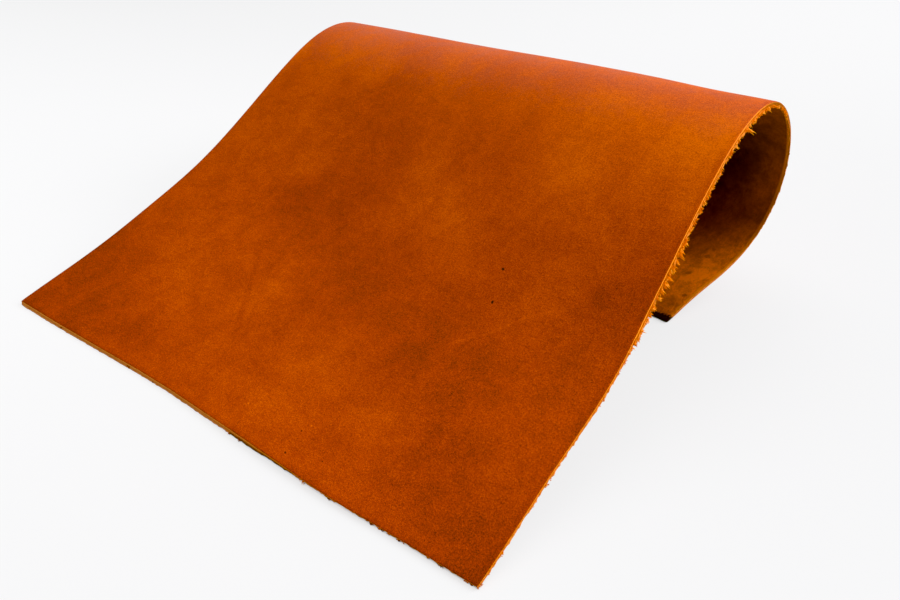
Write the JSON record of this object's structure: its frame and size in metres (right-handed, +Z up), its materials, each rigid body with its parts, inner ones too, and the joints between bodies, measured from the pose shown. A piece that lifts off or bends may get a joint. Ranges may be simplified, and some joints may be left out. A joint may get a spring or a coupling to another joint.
{
  "type": "leather hide",
  "caption": "Cut panel of thick vegetable-tanned leather bent over on itself into an open loop, grain side out, resting on its cut ends.",
  "frame": {"origin": "on the table, under the middle of the part's box", "axes": "+Z up; the top flap's front end faces -Y; the right edge, where the loop's mouth shows, faces +X"},
  "size_m": [0.348, 0.2942, 0.1124],
  "materials": {
    "leather": "cognac brown grain side with a satin finish, raw suede flesh side and raw cut edges"
  },
  "bodies": {
    "root": {"leather_panel": "leather"}
  },
  "joints": []
}
